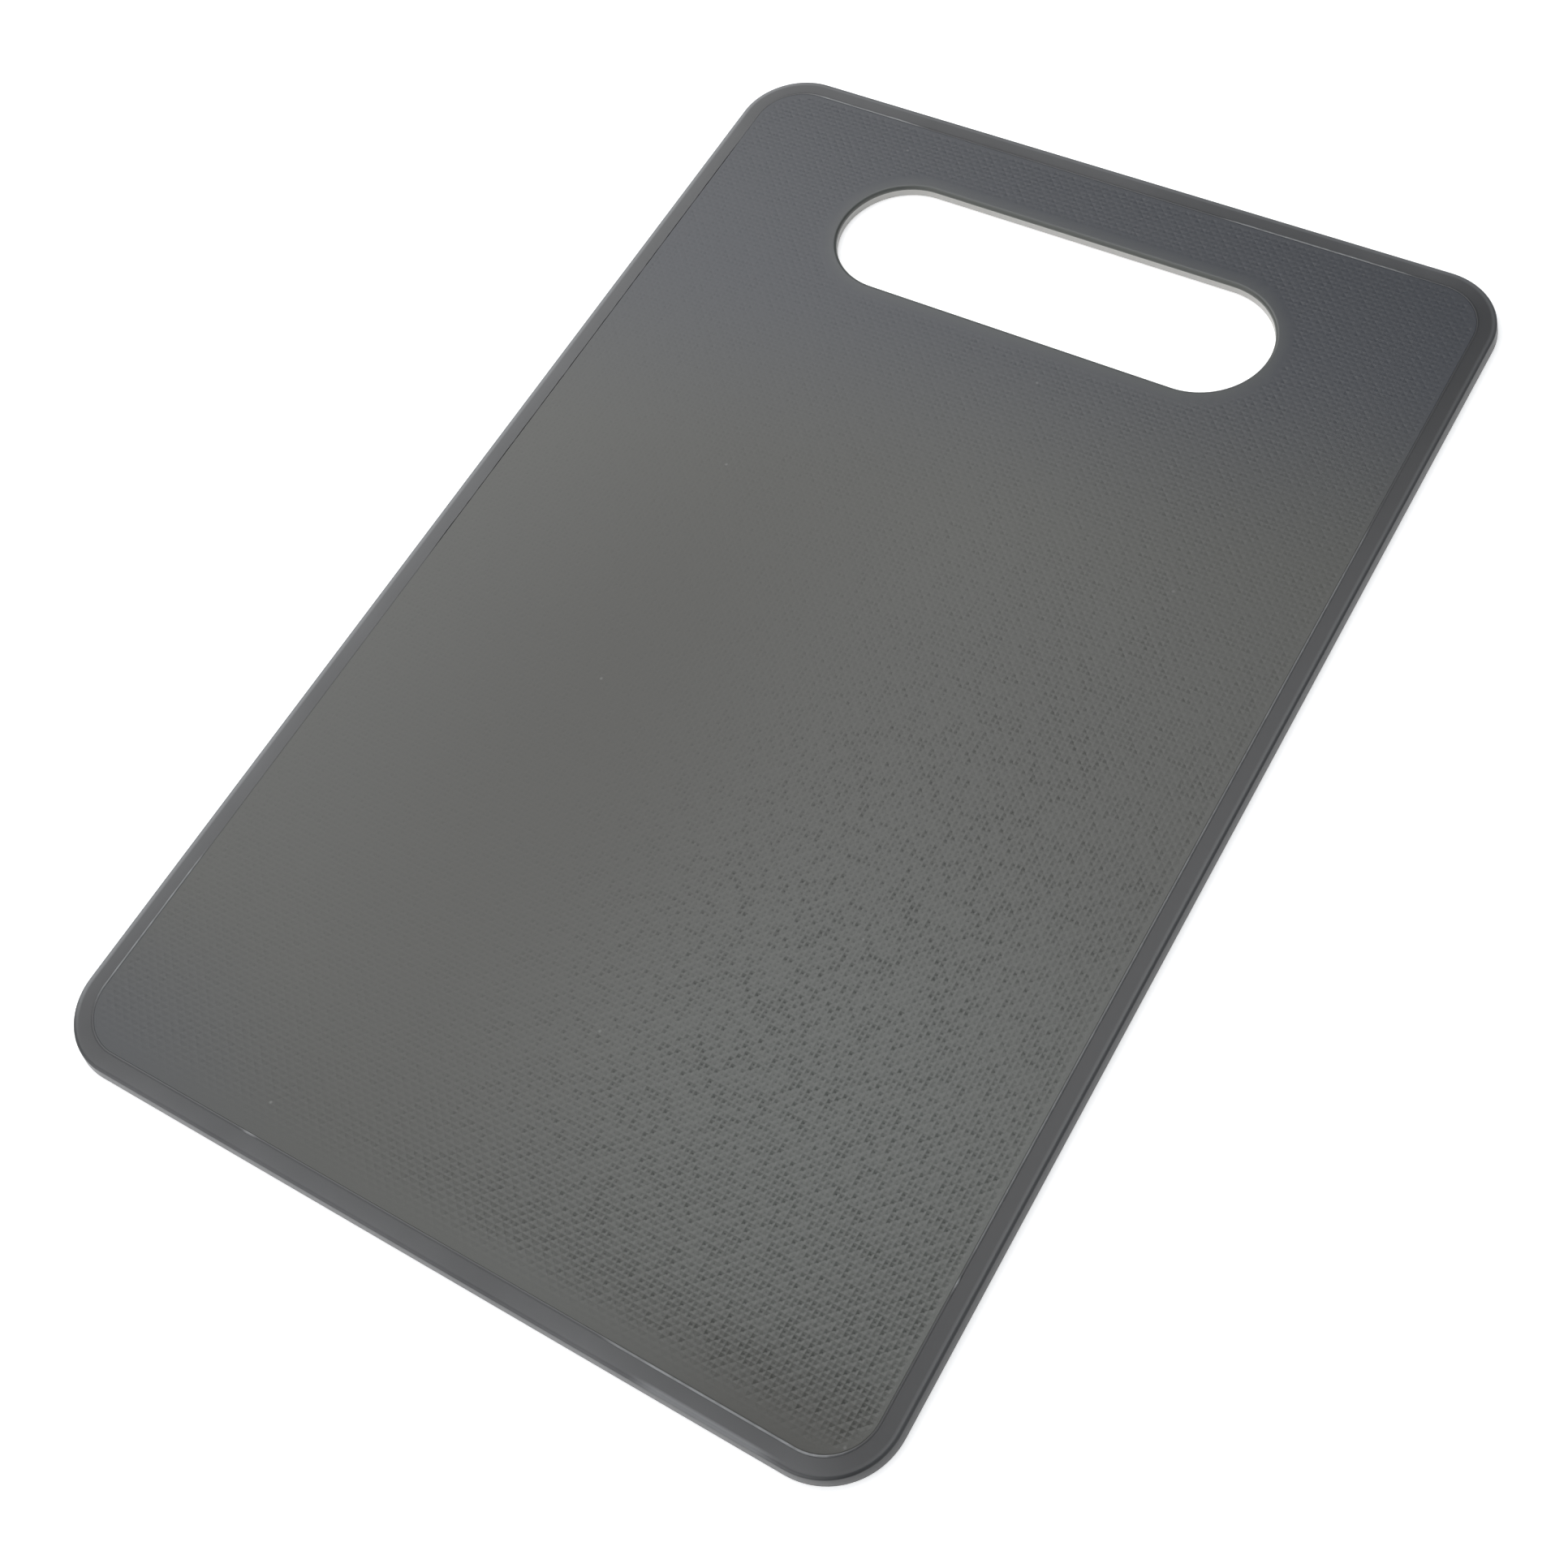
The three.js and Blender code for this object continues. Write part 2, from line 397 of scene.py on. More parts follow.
base_finish, tree = new_material("undyed_polypropylene_satin")
place = add_node(tree, "ShaderNodeTexCoord").outputs["Object"]
clouds = add_node(tree, "ShaderNodeTexNoise", {"Vector": place, "Scale": 1 / (CLOUD_SIZE * MM),
                                                "Detail": 3.0})
milk = add_node(tree, "ShaderNodeMix", {"Factor": clouds.outputs["Fac"], "A": linear("#c3c0bb"),
                                        "B": linear("#d3d1cd")}, data_type="RGBA")
grain = add_node(tree, "ShaderNodeTexNoise", {"Vector": place, "Scale": 1 / (MOULD_GRAIN * MM),
                                              "Detail": 2.0})
satin = add_node(tree, "ShaderNodeMapRange", {"Value": grain.outputs["Fac"], "To Min": 0.40, "To Max": 0.54})
grain_bump = add_node(tree, "ShaderNodeBump", {"Height": grain.outputs["Fac"], "Strength": 0.4,
                                               "Distance": 0.02 * MM})
surface = add_node(tree, "ShaderNodeBsdfPrincipled", {
    "Base Color": milk.outputs["Result"], "Roughness": satin.outputs["Result"],
    "Normal": grain_bump.outputs["Normal"], "IOR": POLYPROPYLENE_IOR})
add_node(tree, "ShaderNodeOutputMaterial", {"Surface": surface.outputs[0]})
print(base_finish.name, "has", len(tree.nodes), "nodes")

# %% [markdown]
# The base plate carries the sheet, and shows only as the pale strip in the wall of the slot. A tongue all
# round it sits in a groove of the rim. Stacked outlines make plate and tongue as one closed mesh, which is
# simpler than joining a separate strip to a plate.

# %% Base plate
TONGUE_HEIGHTS = (0.5, 1.2)
SLOT_FOOT_ROUND = 0.4

seam_inset = half_width - sheet_high.x
tongue_inset = half_width - base_high.x
base = PieceMesh()
edge_profile = [(seam_inset, base_low.z), (seam_inset, TONGUE_HEIGHTS[0]), (tongue_inset, TONGUE_HEIGHTS[0]),
                (tongue_inset, TONGUE_HEIGHTS[1]), (seam_inset, TONGUE_HEIGHTS[1]), (seam_inset, base_high.z)]
slot_profile = [(0, base_high.z)] + quarter_round(SLOT_FOOT_ROUND)
edge_rings = [base.add(board_outline(inset), height) for inset, height in edge_profile]
slot_rings = [base.add(slot_outline(widening), height) for widening, height in slot_profile]
base.walls(edge_rings)
base.walls(slot_rings)
base.fill([edge_rings[-1], slot_rings[0]], lambda middle: slot_distance(middle) > 0, True)
base.fill([edge_rings[0], slot_rings[-1]], lambda middle: slot_distance(middle) > SLOT_FOOT_ROUND, False)
base_piece = base.to_piece("milky_base_plate", base_finish, SHARP_ANGLE)
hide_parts("base_plate")
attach(base_piece, "root")

# %% [markdown]
# The cutting sheet is dark grey polypropylene pressed against a canvas, so it carries a plain weave: each
# thread goes over one and under the next. With u and v counted in threads, cos(pi u) cos(pi v) says which
# thread is on top, and the higher of the two thread heights is the surface. The mesh will have the crossings
# and the pits between them as real relief, and the same formula in the finish rounds each thread. A depth
# stored in the mesh drives both, so they agree.

# %% Weave in the finish
THREAD_SPACING_X = 0.93
THREAD_SPACING_Y = 0.95
WEAVE_DEPTH = 0.12
# The canvas fibres are about 0.05 mm thick, too fine to show here, so their grain is drawn at 0.3 mm.
FIBRE_GRAIN = 0.3

sheet_finish, tree = new_material("canvas_pressed_polypropylene")
place = add_node(tree, "ShaderNodeTexCoord").outputs["Object"]
threads = add_node(tree, "ShaderNodeVectorMath", {
    0: place, 1: (math.pi / (THREAD_SPACING_X * MM), math.pi / (THREAD_SPACING_Y * MM), 0)},
    operation="MULTIPLY").outputs[0]
along = add_node(tree, "ShaderNodeSeparateXYZ", {"Vector": threads}).outputs
warp_wave = add_node(tree, "ShaderNodeMath", {0: along["X"]}, operation="COSINE").outputs[0]
weft_wave = add_node(tree, "ShaderNodeMath", {0: along["Y"]}, operation="COSINE").outputs[0]
over = add_node(tree, "ShaderNodeMath", {0: warp_wave, 1: weft_wave}, operation="MULTIPLY").outputs[0]
warp = add_node(tree, "ShaderNodeMath", {0: warp_wave}, operation="ABSOLUTE").outputs[0]
weft = add_node(tree, "ShaderNodeMath", {0: weft_wave}, operation="ABSOLUTE").outputs[0]
warp = add_node(tree, "ShaderNodeMath", {0: warp, 1: over}, operation="ADD").outputs[0]
weft = add_node(tree, "ShaderNodeMath", {0: weft, 1: over}, operation="SUBTRACT").outputs[0]
relief = add_node(tree, "ShaderNodeMath", {0: warp, 1: weft}, operation="MAXIMUM").outputs[0]
depth = add_node(tree, "ShaderNodeAttribute", attribute_name="weave_depth").outputs["Fac"]
thread_height = add_node(tree, "ShaderNodeMath", {0: relief, 1: depth}, operation="MULTIPLY").outputs[0]
weave_bump = add_node(tree, "ShaderNodeBump", {"Height": thread_height, "Strength": 0.4,
                                               "Distance": WEAVE_DEPTH / 3 * MM}).outputs["Normal"]
grain = add_node(tree, "ShaderNodeTexNoise", {"Vector": place, "Scale": 1 / (FIBRE_GRAIN * MM),
                                              "Detail": 2.0}).outputs["Fac"]
grain_bump = add_node(tree, "ShaderNodeBump", {"Height": grain, "Strength": 0.3, "Distance": 0.02 * MM,
                                               "Normal": weave_bump}).outputs["Normal"]
print("threads to the centimetre:", round(10 / THREAD_SPACING_X, 1), "by", round(10 / THREAD_SPACING_Y, 1))

# %% [markdown]
# A used dark board isn't one grey. The plastic is faintly olive and mottled, and food has stained it a little
# darker. The handle end and one corner are painted with a cool shade, a cooler and darker grey. One part
# towards the near right is paler, and the slot's lip is painted paler as its highlight. Each tone is laid
# over the ones before it. Noise alone could scatter them, but these have their places, so attributes of the
# mesh will say where they are.

# %% Tones of the pressed polypropylene
MOTTLE_SIZE = 40.0
# The second tone is a painted cool shade, and the third is a paler patch and the painted highlight on the
# slot's lip.
SHEET_TONES = {"stain": "#383731", "painted_cool_shade": "#3b3d42", "pale_patch_and_lip_highlight": "#535551"}

mottle = add_node(tree, "ShaderNodeTexNoise", {"Vector": place, "Scale": 1 / (MOTTLE_SIZE * MM),
                                               "Detail": 5.0}).outputs["Fac"]
tone = add_node(tree, "ShaderNodeMix", {"Factor": mottle, "A": linear("#41413d"), "B": linear("#484843")},
                data_type="RGBA").outputs["Result"]
for place_name, colour in SHEET_TONES.items():
    share = add_node(tree, "ShaderNodeAttribute", attribute_name=place_name).outputs["Fac"]
    tone = add_node(tree, "ShaderNodeMix", {"Factor": share, "A": tone, "B": linear(colour)},
                    data_type="RGBA").outputs["Result"]
print("tones laid over the grey:", list(SHEET_TONES))

# %% [markdown]
# Little light gets into the pits of the weave, so they are darker and duller, and a pale speck of dust is
# left here and there. The pits follow from the weave's own height, and the specks from the middles of large
# Voronoi cells, which lie apart as dust does. A roughness near 0.35 is usual for a moulded satin face.

# %% Pits, specks and gloss
SPECK_SPACING = 60.0
SPECK_CORE = 0.12
SPECK_EDGE = 0.36

hollow = add_node(tree, "ShaderNodeMapRange", {"Value": relief, "From Min": 0.0, "From Max": 0.7,
                                               "To Min": 1.0, "To Max": 0.0}).outputs["Result"]
hollow = add_node(tree, "ShaderNodeMath", {0: hollow, 1: depth}, operation="MULTIPLY",
                  use_clamp=True).outputs[0]
tone = add_node(tree, "ShaderNodeMix", {"Factor": hollow, "A": tone, "B": linear("#2a2a29")},
                data_type="RGBA").outputs["Result"]
speck = add_node(tree, "ShaderNodeTexVoronoi", {"Vector": place, "Scale": 1 / (SPECK_SPACING * MM)},
                 voronoi_dimensions="2D").outputs["Distance"]
speck = add_node(tree, "ShaderNodeMapRange", {
    "Value": speck, "From Min": SPECK_CORE / SPECK_SPACING, "From Max": SPECK_EDGE / SPECK_SPACING,
    "To Min": 0.4, "To Max": 0.0}).outputs["Result"]
tone = add_node(tree, "ShaderNodeMix", {"Factor": speck, "A": tone, "B": linear("#7a7a77")},
                data_type="RGBA").outputs["Result"]
satin = add_node(tree, "ShaderNodeMapRange", {"Value": grain, "To Min": 0.29,
                                              "To Max": 0.39}).outputs["Result"]
satin = add_node(tree, "ShaderNodeMath", {0: hollow, 1: 0.2, 2: satin}, operation="MULTIPLY_ADD").outputs[0]
surface = add_node(tree, "ShaderNodeBsdfPrincipled", {
    "Base Color": tone, "Roughness": satin, "Normal": grain_bump, "IOR": POLYPROPYLENE_IOR})
add_node(tree, "ShaderNodeOutputMaterial", {"Surface": surface.outputs[0]})
print(sheet_finish.name, "has", len(tree.nodes), "nodes")

# %% [markdown]
# The canvas didn't press evenly. The threads show most at the near right, a little less along the right
# edge, hardly at all on the left, and not beside the slot and the seam, where the mould held the sheet. One
# function of the place on the sheet gives the depth, because the mesh and the finish both need it.

# %% How deep the canvas pressed
# Each of the four ramps is (where it starts, how far it runs) in millimetres. A negative run goes backwards.
PRESSED_ACROSS = (-30.0, 60.0)
PRESSED_ALONG = (70.0, -130.0)
EASED_ACROSS = (48.0, 20.0)
EASED_ALONG = (-95.0, 45.0)
LEAST_PRESS = 0.28
EASED_AT_EDGE = 0.25
SLOT_BAND = 2.4
SLOT_FADE = 1.5
FRONT_FADE = 8.0
SEAM_FADE = 0.8


def weave_strength(xy):
    """Up to 1 at the near right, where the canvas pressed deepest, and 0 beside the slot and the seam."""
    x, y = xy[:, 0], xy[:, 1]
    near_right = rise(x, *PRESSED_ACROSS) * rise(y, *PRESSED_ALONG)
    right_edge = rise(x, *EASED_ACROSS) * rise(y, *EASED_ALONG)
    pressed = (LEAST_PRESS + (1 - LEAST_PRESS) * near_right) * (1 - EASED_AT_EDGE * right_edge)
    off_slot = rise(slot_distance(xy), SLOT_BAND, SLOT_FADE)
    off_front = rise(y, sheet_low.y, FRONT_FADE)
    off_seam = rise(wall_distance(xy), seam_inset, SEAM_FADE)
    return pressed * off_slot * off_front * off_seam


near_corner = np.array([[66.0, -106.0]])
print("share of the full depth at the near right corner:", weave_strength(near_corner).round(2))

# %% [markdown]
# Each crossing of two threads is a point, and so is each pit between four crossings. First the crossings
# that have room on the sheet are found, and the cells whose four corners are all among them. A grid cut to
# shape by a Boolean would give the same outline, but with slivers along it.

# %% Woven cells
SHEET_EDGE_ROUND = 0.06
CELL_MARGIN = 0.35

spacing = np.array([THREAD_SPACING_X, THREAD_SPACING_Y])
first = np.ceil(np.array(sheet_low[:2]) / spacing).astype(int)
last = np.floor(np.array(sheet_high[:2]) / spacing).astype(int)
crossing = np.stack(np.meshgrid(np.arange(first[0], last[0] + 1), np.arange(first[1], last[1] + 1),
                                indexing="ij"), -1)
flat_xy = crossing.reshape(-1, 2) * spacing
inside = wall_distance(flat_xy) > seam_inset + SHEET_EDGE_ROUND + FLAT_START + CELL_MARGIN
inside &= slot_distance(flat_xy) > SLOT_BAND
inside = inside.reshape(crossing.shape[:2])
cell = inside[:-1, :-1] & inside[1:, :-1] & inside[:-1, 1:] & inside[1:, 1:]
used = np.zeros_like(inside)
for shift_x, shift_y in ((0, 0), (1, 0), (0, 1), (1, 1)):
    used[shift_x:shift_x + cell.shape[0], shift_y:shift_y + cell.shape[1]] |= cell
print("woven cells:", int(cell.sum()))

# %% [markdown]
# Four triangles join a pit to its crossings. Every second crossing lies lower, where the thread on top dips
# under the next one, and each differs a little, as in real cloth. A bump in the finish could only pretend
# this relief, and an exported mesh would lose it.

# %% Crossings and pits
LOWER_CROSSING = 0.4
UNEVEN_CROSSING = 0.2
LEAST_PIT = 0.45
DEEPER_PITS = 0.7
SCATTER_SEED = 7

scatter = np.random.default_rng(SCATTER_SEED)
sheet = PieceMesh()
number = np.full(used.shape, -1)
used_xy = crossing[used] * spacing
sunk = LOWER_CROSSING * (crossing[used].sum(axis=1) % 2) + UNEVEN_CROSSING * scatter.random(len(used_xy))
number[used] = sheet.add(used_xy, board_top - WEAVE_DEPTH * weave_strength(used_xy) * sunk)
pit_xy = (crossing[:-1, :-1][cell] + 0.5) * spacing
pit_depth = weave_strength(pit_xy) * (LEAST_PIT + DEEPER_PITS * scatter.random(len(pit_xy)) ** 2)
pits = sheet.add(pit_xy, board_top - WEAVE_DEPTH * pit_depth)
corners = [number[:-1, :-1][cell], number[1:, :-1][cell], number[1:, 1:][cell], number[:-1, 1:][cell]]
for start, end in zip(corners, corners[1:] + corners[:1]):
    sheet.faces += np.stack([start, end, pits], 1).tolist()
print("deepest pit, mm:", round(WEAVE_DEPTH * pit_depth.max(), 3))

# %% [markdown]
# The woven cells end in steps, and the sheet ends in smooth outlines. A walk round the cells gives their
# borders, and a test tells the plain strip between borders and outlines from the woven part.

# %% Borders of the woven part
SLOT_LIP_ROUND = 0.6


def border_loops(cell, number):
    """The closed loops of crossings round the woven cells, each as point numbers in order."""
    following = {}
    padded = np.pad(cell, 1)
    for i, j in np.argwhere(cell):
        corners = ((i, j), (i + 1, j), (i + 1, j + 1), (i, j + 1))
        beyond = ((i + 1, j), (i + 2, j + 1), (i + 1, j + 2), (i, j + 1))
        for side in range(4):
            if not padded[beyond[side]]:
                following[number[corners[side]]] = number[corners[(side + 1) % 4]]
    loops = []
    while following:
        loop = [next(iter(following))]
        while loop[-1] in following:
            loop.append(following.pop(loop[-1]))
        loops.append(np.array(loop[:-1]))
    return loops


def outside_cells(middle):
    """True for points between the woven cells and the sheet's edges."""
    at = np.floor(middle / spacing).astype(int) - first + 1
    at = np.clip(at, 0, np.array(cell.shape) + 1)
    return ~np.pad(cell, 1)[at[:, 0], at[:, 1]] & (slot_distance(middle) > SLOT_LIP_ROUND + FLAT_START)


woven_borders = border_loops(cell, number)
print("points on the borders of the woven part:", [len(loop) for loop in woven_borders])

# %% [markdown]
# Now the sheet's own edges: a hair of rounding at the seam, and a soft lip where the slot was punched, which
# is what fingers feel. The woven triangles stay flat-shaded. Smooth shading takes the mean slope at each
# crossing and pit, which is level there by symmetry, so the light would show no weave at all.

# %% Cutting sheet
edge_profile = [(seam_inset, sheet_low.z)]
edge_profile += [(seam_inset + back, board_top - drop)
                 for back, drop in quarter_round(SHEET_EDGE_ROUND, steps=3)]
edge_profile.append((seam_inset + SHEET_EDGE_ROUND + FLAT_START, board_top))
slot_profile = [(SLOT_LIP_ROUND + FLAT_START, board_top)]
slot_profile += [(back, board_top - drop) for back, drop in reversed(quarter_round(SLOT_LIP_ROUND))]
slot_profile.append((0, sheet_low.z))
edge_rings = [sheet.add(board_outline(inset), height) for inset, height in edge_profile]
slot_rings = [sheet.add(slot_outline(widening), height) for widening, height in slot_profile]
sheet.walls(edge_rings)
sheet.walls(slot_rings)
sheet.fill([edge_rings[-1], slot_rings[0]] + woven_borders, outside_cells, True)
sheet.fill([edge_rings[0], slot_rings[-1]], lambda middle: slot_distance(middle) > 0, False)
sheet_piece = sheet.to_piece("woven_cutting_sheet", sheet_finish, SHARP_ANGLE)
woven_faces = len(corners) * len(pits)
sheet_piece.data.polygons.foreach_set("use_smooth", np.arange(len(sheet.faces)) >= woven_faces)

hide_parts("cutting_sheet")
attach(sheet_piece, "root")

# %% [markdown]
# The finish reads where the sheet is woven, stained, painted with cool shade, paler and painted with the
# lip's highlight from numbers at the mesh's points.
# They are worked out from places in millimetres. Painting them by hand would look as good, but couldn't be
# repeated.

# %% Where the sheet is stained, paler, and painted with shade and highlight
CREST_DEPTH = 0.6
HANDLE_START = 32.0
HANDLE_FADE = 55.0
HANDLE_SLANT = 0.18
COOL_SHADE_CORNER = (-80, -124)
COOL_SHADE_REACH = (60, 40)
COOL_SHADE_CORNER_SHARE = 0.8
# Each stain is (x, y, reach along x, reach along y) in millimetres.
STAINS = ((-28, -20, 60, 110), (66, -119, 64, 18))
PALE_PATCH_CENTRE = (52, -76)
PALE_PATCH_REACH = 80.0
LIP_HIGHLIGHT_REACH = 1.2


def store(piece, name, values):
    """Keep one number for each point of a piece's mesh, for the finish to read."""
    piece.data.attributes.new(name, "FLOAT", "POINT").data.foreach_set("value", values)
    print(piece.name, name, "is", round(float(np.mean(values)), 3), "on average")


def near(xy, centre, reach):
    """1 at the centre, falling softly to 0 at the reach."""
    return smooth_step(1 - np.linalg.norm((xy - centre) / np.array(reach), axis=1))


sheet_xy = sheet.points[:, :2]
point_depth = CREST_DEPTH * weave_strength(sheet_xy)
point_depth[pits] = pit_depth
store(sheet_piece, "weave_depth", point_depth)
# Painted cool shade: a cooler, darker grey over the handle end and one corner.
handle_end_shade = rise(sheet_xy[:, 1] - HANDLE_SLANT * sheet_xy[:, 0], HANDLE_START, HANDLE_FADE)
cool_shade_corner = COOL_SHADE_CORNER_SHARE * near(sheet_xy, COOL_SHADE_CORNER, COOL_SHADE_REACH)
store(sheet_piece, "painted_cool_shade", np.maximum(handle_end_shade, cool_shade_corner))
stain = np.max([near(sheet_xy, (x, y), (reach_x, reach_y)) for x, y, reach_x, reach_y in STAINS], axis=0)
store(sheet_piece, "stain", stain)
# A paler patch towards the near right, and a painted highlight along the slot's lip.
pale_patch = near(sheet_xy, PALE_PATCH_CENTRE, PALE_PATCH_REACH) * (1 - stain)
lip_highlight = smooth_step(1 - slot_distance(sheet_xy) / LIP_HIGHLIGHT_REACH)
store(sheet_piece, "pale_patch_and_lip_highlight", np.maximum(pale_patch, lip_highlight))

# %% [markdown]
# The rim is the same dark polypropylene, moulded smooth, so it has a satin gloss with no weave. A painted
# sheen makes it paler on the sides that face the light, most at its outer edge, and painted highlights
# brighten the arris and the bead at the seam. Three mixes on top of a dark grey give that, driven by the
# mesh.

# %% Smooth moulded polypropylene
RIM_MOTTLE_SIZE = 25.0
# The mould's polish is far finer than 0.1 mm, too fine to show here, so its grain is drawn at 0.3 mm.
POLISH_GRAIN = 0.3
# Both tones are painted highlights: on the arris beside the top edge and on the bead at the seam.
RIM_TONES = {"arris_highlight": "#818283", "flash_and_highlight": "#8b8c8c"}

rim_finish, tree = new_material("smooth_moulded_polypropylene")
place = add_node(tree, "ShaderNodeTexCoord").outputs["Object"]
mottle = add_node(tree, "ShaderNodeTexNoise", {"Vector": place, "Scale": 1 / (RIM_MOTTLE_SIZE * MM),
                                               "Detail": 5.0}).outputs["Fac"]
patchy = add_node(tree, "ShaderNodeMapRange", {"Value": mottle, "From Min": 0.3, "From Max": 0.7,
                                               "To Min": 0.5, "To Max": 1.0}).outputs["Result"]
# The paler grey is a painted sheen of the light on the rim.
sheen_share = add_node(tree, "ShaderNodeAttribute", attribute_name="edge_sheen").outputs["Fac"]
sheen_share = add_node(tree, "ShaderNodeMath", {0: sheen_share, 1: patchy}, operation="MULTIPLY").outputs[0]
tone = add_node(tree, "ShaderNodeMix", {"Factor": sheen_share, "A": linear("#272728"), "B": linear("#5d5d5e")},
                data_type="RGBA").outputs["Result"]
for place_name, colour in RIM_TONES.items():
    share = add_node(tree, "ShaderNodeAttribute", attribute_name=place_name).outputs["Fac"]
    tone = add_node(tree, "ShaderNodeMix", {"Factor": share, "A": tone, "B": linear(colour)},
                    data_type="RGBA").outputs["Result"]
grain = add_node(tree, "ShaderNodeTexNoise", {"Vector": place, "Scale": 1 / (POLISH_GRAIN * MM),
                                              "Detail": 2.0}).outputs["Fac"]
satin = add_node(tree, "ShaderNodeMapRange", {"Value": grain, "To Min": 0.28,
                                              "To Max": 0.38}).outputs["Result"]
grain_bump = add_node(tree, "ShaderNodeBump", {"Height": grain, "Strength": 0.3,
                                               "Distance": 0.015 * MM}).outputs["Normal"]
surface = add_node(tree, "ShaderNodeBsdfPrincipled", {
    "Base Color": tone, "Roughness": satin, "Normal": grain_bump, "IOR": POLYPROPYLENE_IOR})
add_node(tree, "ShaderNodeOutputMaterial", {"Surface": surface.outputs[0]})
print(rim_finish.name, "has", len(tree.nodes), "nodes")

# %% [markdown]
# Along the seam a thin bead stands up where the melt crept between the parts of the mould. It is high on a
# few stretches and at two small nicks, and barely there elsewhere. On one stretch the seam has opened a
# little. A short list of places says where, and the bead's height then follows it point by point.

# %% Where the bead stands and where the seam is open
# Each stretch is (x, y, half its length, strength), the first three in millimetres.
FLASH_STRETCHES = ((-56, 118.5, 15, 0.9), (42, 118.5, 20, 0.7), (54, -118.5, 22, 1.0), (-76, -97, 17, 1.0),
                   (76, -10, 75, 0.4), (-36.6, -118.7, 1.8, 1.0), (76.2, -86.6, 1.4, 0.9))
OPEN_STRETCHES = ((-76, 45, 58, 1.0),)
STRETCH_FADE = 6.0
WIDEST_OPENING = 0.12
LEAST_FLASH = 0.5
LEAST_OPENING = 0.4


def on_stretches(stretches):
    """For each outline point, the strength of the stretch it is on, and 0 away from them."""
    share = np.zeros(len(board_points))
    for x, y, half_run, strength in stretches:
        away = np.linalg.norm(board_outline(seam_inset) - (x, y), axis=1)
        fade = min(STRETCH_FADE, half_run)
        share = np.maximum(share, strength * smooth_step((half_run - away) / fade))
    return share


unevenness = scatter.random(len(board_points))
# These shares raise the bead and also give it a painted highlight.
flash_and_highlight = on_stretches(FLASH_STRETCHES) * (LEAST_FLASH + (1 - LEAST_FLASH) * unevenness)
opening = WIDEST_OPENING * on_stretches(OPEN_STRETCHES) * (LEAST_OPENING + (1 - LEAST_OPENING) * unevenness)
print("outline points with a high bead:", int((flash_and_highlight > 0.5).sum()))

# %% [markdown]
# The rim is one section carried round the board, so it is drawn once, as pairs of inset and height. It starts
# with the foot, the wall and the rounded top edge. The wall leans in a little, the draft that lets a moulding
# leave its mould, and the top edge is rounded more across than down.

# %% Outer side of the rim
RIM_EDGE_ACROSS = 0.6
RIM_EDGE_DOWN = 0.3
RIM_EDGE_STEPS = 10
RIM_FOOT_ROUND = 0.15
WALL_DRAFT = math.radians(10)

foot_round = quarter_round(RIM_FOOT_ROUND, steps=4)
wall_end = math.atan(math.tan(WALL_DRAFT) * RIM_EDGE_DOWN / RIM_EDGE_ACROSS)
edge_round = quarter_round(RIM_EDGE_ACROSS, RIM_EDGE_DOWN, RIM_EDGE_STEPS, wall_end)
wall_height = board_top - edge_round[0][1] - RIM_FOOT_ROUND
lean = wall_height * math.tan(WALL_DRAFT) - edge_round[0][0]
profile = [(RIM_FOOT_ROUND + FLAT_START, rim_low.z)] + foot_round[::-1]
profile += [(lean + back, board_top - drop) for back, drop in edge_round]
print("the wall leans in by", round(lean, 3), "mm")

# %% [markdown]
# The section goes on over the flat top and the bead, down the seam and round the groove for the plate's
# tongue. An outline at each pair of inset and height makes the mesh. A curve could carry a section round too,
# but always the same one, and here the bead's height and place change from point to point.

# %% Edge rim
ARRIS_BAND = 0.5
BEAD_WIDTH = 0.4
BEAD_STEPS = 10
LEAST_BEAD = 0.15
GROOVE_CLEARANCE = 0.1

bead_height = rim_high.z - board_top
groove_inset = tongue_inset - GROOVE_CLEARANCE
groove_low = TONGUE_HEIGHTS[0] - GROOVE_CLEARANCE
groove_high = TONGUE_HEIGHTS[1] + GROOVE_CLEARANCE
profile += [(lean + RIM_EDGE_ACROSS + FLAT_START, board_top),
            (lean + RIM_EDGE_ACROSS + ARRIS_BAND, board_top),
            (seam_inset - opening - BEAD_WIDTH - FLAT_START, board_top)]
bead_lift = bead_height * (LEAST_BEAD + (1 - LEAST_BEAD) * flash_and_highlight)
for share in np.linspace(0, 1, BEAD_STEPS + 1):
    profile.append((seam_inset - opening - BEAD_WIDTH * (1 - share),
                    board_top + bead_lift * math.sin(math.pi * share)))
profile += [(seam_inset - opening, groove_high), (groove_inset, groove_high), (groove_inset, groove_low),
            (seam_inset, groove_low), (seam_inset, rim_low.z)]
rim = PieceMesh()
rings = [rim.add(board_outline(inset), height) for inset, height in profile]
rim.walls(rings + rings[:1])
rim_piece = rim.to_piece("moulded_edge_rim", rim_finish, SHARP_ANGLE)

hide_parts("edge_rim")
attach(rim_piece, "root")
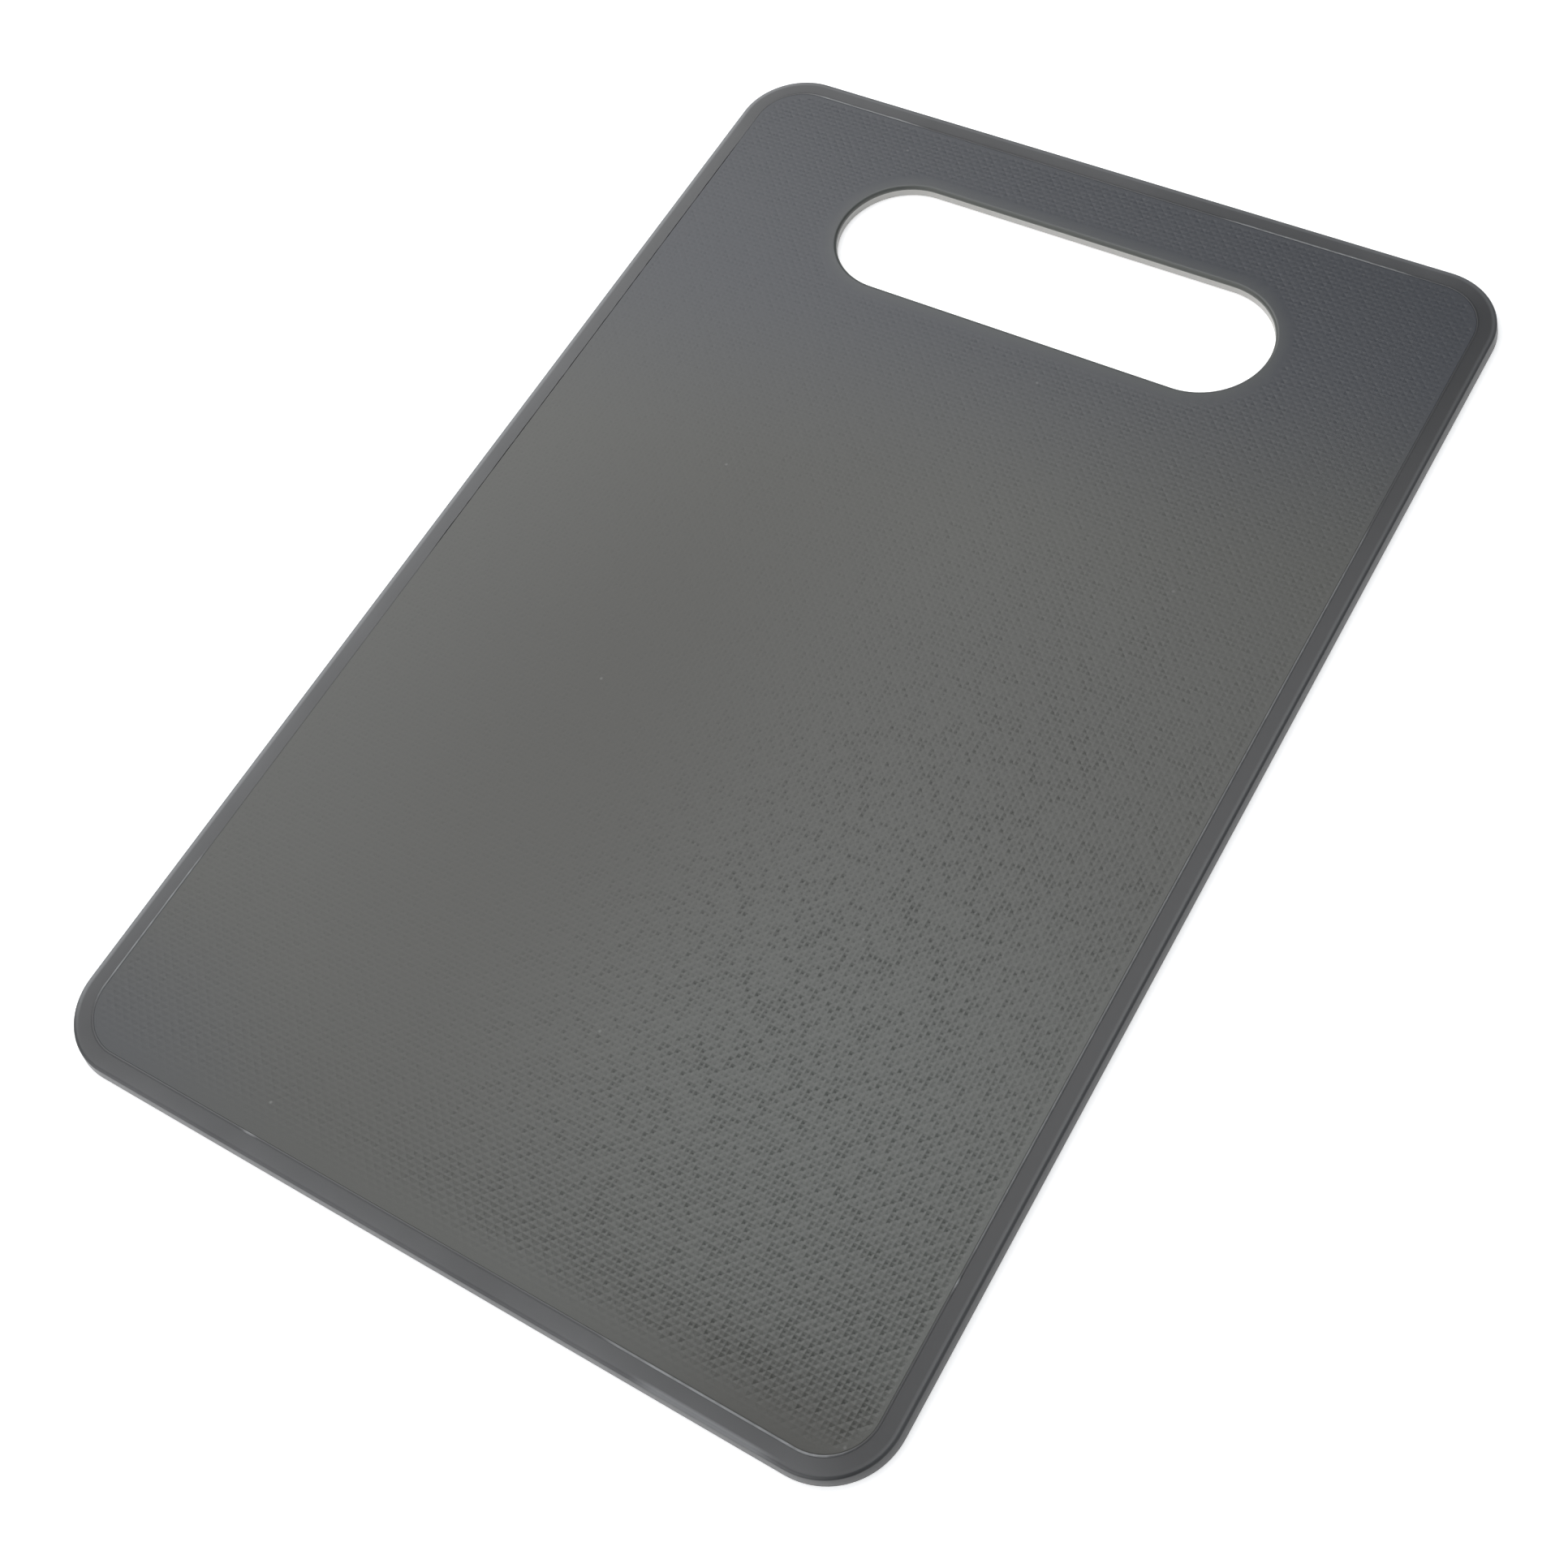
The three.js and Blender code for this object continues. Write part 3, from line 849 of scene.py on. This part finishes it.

# %% [markdown]
# The rim is painted paler as a sheen of the light from the left: on every side but the right, and most at its
# outer edge. The right side gets a little painted sheen at that edge and beside the handle. It could be
# painted by hand, but which way the wall faces at each point says nearly all of it.

# %% Painted sheen on the rim
SHEEN_REACH = 2.6
SIDE_SHEEN = 0.48
OUTER_SIDE_SHEEN = 0.3
OUTER_SHEEN = 0.1
HANDLE_SHEEN = 0.14
HANDLE_SHEEN_START = 10.0
HANDLE_SHEEN_FADE = 70.0

out_x, out_y = np.tile(board_normals, (len(profile), 1)).T
from_wall = wall_distance(rim.points[:, :2])
outer = smooth_step(1 - from_wall / SHEEN_REACH)
right_side = smooth_step(out_x)
beside_handle = right_side * rise(rim.points[:, 1], HANDLE_SHEEN_START, HANDLE_SHEEN_FADE)
# Painted sheen: paler on the sides facing the light and at the outer edge.
edge_sheen = (1 - right_side) * (SIDE_SHEEN + OUTER_SIDE_SHEEN * outer)
edge_sheen = edge_sheen + OUTER_SHEEN * outer + HANDLE_SHEEN * beside_handle
store(rim_piece, "edge_sheen", edge_sheen)

# %% [markdown]
# The narrow strip beside the rounded top edge, the arris, gets the palest painted highlight: on the left
# above all, less on the right and at the handle's end, and at the front on one short stretch alone. The bead
# gets a painted highlight where it stands high, so the same stretches that raised it also give its colour.

# %% Painted highlights on the arris and the bead
ARRIS_START = 0.03
ARRIS_LIGHT_SIDES = 0.2
ARRIS_LIGHT_LEFT = 0.6
ARRIS_LIGHT_AT_HANDLE = 0.15
ARRIS_LIGHT_STRETCHES = ((53, -118.5, 14, 0.7),)

from_edge = from_wall - lean
# The arris is painted with a highlight, palest on the left, the lit side.
arris = (from_edge > ARRIS_START) * rise(from_edge, RIM_EDGE_ACROSS + ARRIS_BAND, -ARRIS_BAND)
arris *= rim.points[:, 2] > board_top / 2
arris_light = ARRIS_LIGHT_SIDES + ARRIS_LIGHT_LEFT * np.maximum(-out_x, 0) + ARRIS_LIGHT_AT_HANDLE * np.maximum(out_y, 0)
arris_light *= smooth_step(1 + out_y)
arris_light = np.maximum(arris_light, np.tile(on_stretches(ARRIS_LIGHT_STRETCHES), len(profile)))
store(rim_piece, "arris_highlight", arris * arris_light)
# The bead's painted highlight, where it stands above the top.
store(rim_piece, "flash_and_highlight", np.tile(flash_and_highlight, len(profile)) * (rim.points[:, 2] > board_top))

# %% [markdown]
# The Standard view shows each colour as it is written.

# %% View settings and the end
scene.view_settings.view_transform = "Standard"
